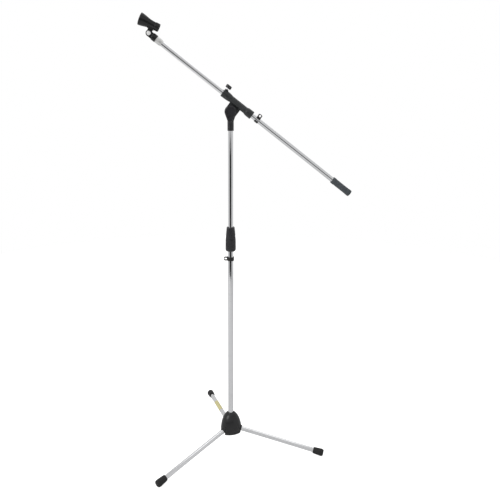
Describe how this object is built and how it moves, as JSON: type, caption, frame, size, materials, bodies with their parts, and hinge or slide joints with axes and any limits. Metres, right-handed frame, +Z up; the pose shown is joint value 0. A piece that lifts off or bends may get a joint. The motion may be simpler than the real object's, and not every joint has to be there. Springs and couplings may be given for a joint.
{
  "type": "boom microphone stand",
  "caption": "Folding tripod stand with a telescopic chromed column, a tilting boom with a rubber grip, and a microphone clip on its end.",
  "frame": {"origin": "on the floor, on the column's axis", "axes": "+Z up along the column, +X towards the boom's grip end, -Y towards the head's cheek side"},
  "size_m": [0.6698, 0.5816, 1.4701],
  "materials": {
    "hub_plastic": "satin moulded black nylon",
    "head_plastic": "satin moulded black nylon",
    "sleeve_plastic": "fine-grained black nylon",
    "clip_plastic": "satin black plastic",
    "band_plastic": "black nylon",
    "bush_plastic": "natural nylon",
    "chrome_tube": "chromed steel tube",
    "plated_steel": "bright plated steel",
    "plain_steel": "zinc-plated steel",
    "cast_alloy": "die-cast alloy",
    "insert_brass": "turned brass",
    "foot_rubber": "moulded black rubber",
    "grip_rubber": "dark blue-grey rubber",
    "label_film": "plain yellow film, no print"
  },
  "bodies": {
    "tripod_hub": {"hub_bell": "hub_plastic", "leg_carrier": "cast_alloy", "hub_base_plate": "hub_plastic", "base_plate_screws": "plain_steel", "hub_bolt": "plain_steel", "hub_washer": "plain_steel", "leg_pins": "plain_steel", "tube_plug_bottom": "bush_plastic", "lower_tube": "chrome_tube", "clutch_body": "head_plastic", "clutch_collet": "bush_plastic"},
    "leg_rear": {"leg_tube_rear": "chrome_tube", "leg_knuckle_rear": "bush_plastic", "rubber_foot_rear": "foot_rubber", "leg_label": "label_film"},
    "leg_left": {"leg_tube_left": "chrome_tube", "leg_knuckle_left": "bush_plastic", "rubber_foot_left": "foot_rubber"},
    "leg_right": {"leg_tube_right": "chrome_tube", "leg_knuckle_right": "bush_plastic", "rubber_foot_right": "foot_rubber"},
    "lower_clip": {"cable_clip_lower": "band_plastic"},
    "clutch_thrust": {"clutch_ring": "plain_steel"},
    "clutch_sleeve": {"clutch_grip": "head_plastic"},
    "column_foot": {"column_bush": "bush_plastic"},
    "column": {"upper_tube": "chrome_tube", "head_neck": "head_plastic", "neck_screw": "plain_steel", "pivot_stud": "plain_steel", "friction_disc": "bush_plastic"},
    "boom_head": {"boom_sleeve": "sleeve_plastic", "thumb_nut": "plain_steel"},
    "handle_washer": {"pivot_washer": "plain_steel"},
    "handle": {"tilt_handle": "head_plastic", "handle_nut": "plain_steel"},
    "screw_pad": {"pressure_pad": "bush_plastic"},
    "thumb_screw": {"thumb_stud": "plated_steel", "thumb_knob": "head_plastic"},
    "boom_bushes": {"sleeve_bush_front": "bush_plastic", "sleeve_bush_rear": "bush_plastic"},
    "boom": {"boom_tube": "chrome_tube", "boom_tip_adaptor": "plated_steel", "boom_grip": "grip_rubber", "boom_end_plug": "band_plastic", "clip_base": "clip_plastic", "clip_thread_insert": "insert_brass", "clip_bolt": "plated_steel", "clip_nut": "plain_steel"},
    "upper_clip": {"cable_clip_upper": "band_plastic"},
    "mic_clip": {"clip_body": "clip_plastic"}
  },
  "joints": [
    {"name": "leg_fold_rear", "type": "hinge", "parent": "tripod_hub", "child": "leg_rear", "pos_m": [-0.00566, 0.02126, 0.06536], "axis": [-0.9664, -0.2571, 0], "range_deg": [0, 78]},
    {"name": "leg_fold_left", "type": "hinge", "parent": "tripod_hub", "child": "leg_left", "pos_m": [-0.01558, -0.01553, 0.06536], "axis": [0.7059, -0.7083, 0], "range_deg": [0, 78]},
    {"name": "leg_fold_right", "type": "hinge", "parent": "tripod_hub", "child": "leg_right", "pos_m": [0.02124, -0.00573, 0.06536], "axis": [0.2605, 0.9655, 0], "range_deg": [0, 78]},
    {"name": "lower_clip_slide", "type": "slide", "parent": "tripod_hub", "child": "lower_clip", "axis": [0, 0, 1], "range_m": [-0.575, 0.019]},
    {"name": "clutch_ring_slide", "type": "slide", "parent": "tripod_hub", "child": "clutch_thrust", "axis": [0, 0, 1], "range_m": [0, 0.003]},
    {"name": "clutch_twist", "type": "hinge", "parent": "clutch_thrust", "child": "clutch_sleeve", "pos_m": [0, 0, 0.778], "axis": [0, 0, 1], "range_deg": [-1, 361]},
    {"name": "column_slide", "type": "slide", "parent": "tripod_hub", "child": "column_foot", "axis": [0, 0, 1], "range_m": [-0.3, 0.27]},
    {"name": "column_turn", "type": "hinge", "parent": "column_foot", "child": "column", "pos_m": [0, 0, 1.13], "axis": [0, 0, 1], "continuous": true},
    {"name": "boom_tilt", "type": "hinge", "parent": "column", "child": "boom_head", "pos_m": [0, 0, 1.1885], "axis": [0, 1, 0], "range_deg": [-125, 50]},
    {"name": "handle_travel", "type": "slide", "parent": "column", "child": "handle_washer", "axis": [0, 1, 0], "range_m": [0, 0.00125]},
    {"name": "handle_turn", "type": "hinge", "parent": "handle_washer", "child": "handle", "pos_m": [0, 0.02, 1.1885], "axis": [0, 1, 0], "range_deg": [-1, 361]},
    {"name": "screw_travel", "type": "slide", "parent": "boom_head", "child": "screw_pad", "axis": [0.6067, 0, 0.7949], "range_m": [0, 0.0005]},
    {"name": "thumb_screw_turn", "type": "hinge", "parent": "screw_pad", "child": "thumb_screw", "pos_m": [-0.00801, 0, 1.25877], "axis": [0.6067, 0, 0.7949], "range_deg": [-1, 181]},
    {"name": "boom_turn", "type": "hinge", "parent": "boom_head", "child": "boom_bushes", "pos_m": [0.01881, 0, 1.21314], "axis": [-0.7949, 0, 0.6067], "continuous": true},
    {"name": "boom_slide", "type": "slide", "parent": "boom_bushes", "child": "boom", "axis": [-0.7949, 0, 0.6067], "range_m": [-0.226, 0.295]},
    {"name": "upper_clip_slide", "type": "slide", "parent": "boom", "child": "upper_clip", "axis": [-0.7949, 0, 0.6067], "range_m": [-0.296, 0.227]},
    {"name": "clip_tilt", "type": "hinge", "parent": "boom", "child": "mic_clip", "pos_m": [-0.24305, 0, 1.41298], "axis": [0, 1, 0], "range_deg": [-150, 14]}
  ],
  "couplings": [
    {"joint": "clutch_twist", "follows": "clutch_ring_slide", "rad_per_m": 2094.4},
    {"joint": "handle_turn", "follows": "handle_travel", "rad_per_m": 5026.5},
    {"joint": "thumb_screw_turn", "follows": "screw_travel", "rad_per_m": 6283.2},
    {"joint": "upper_clip_slide", "follows": "boom_slide", "ratio": -1}
  ]
}
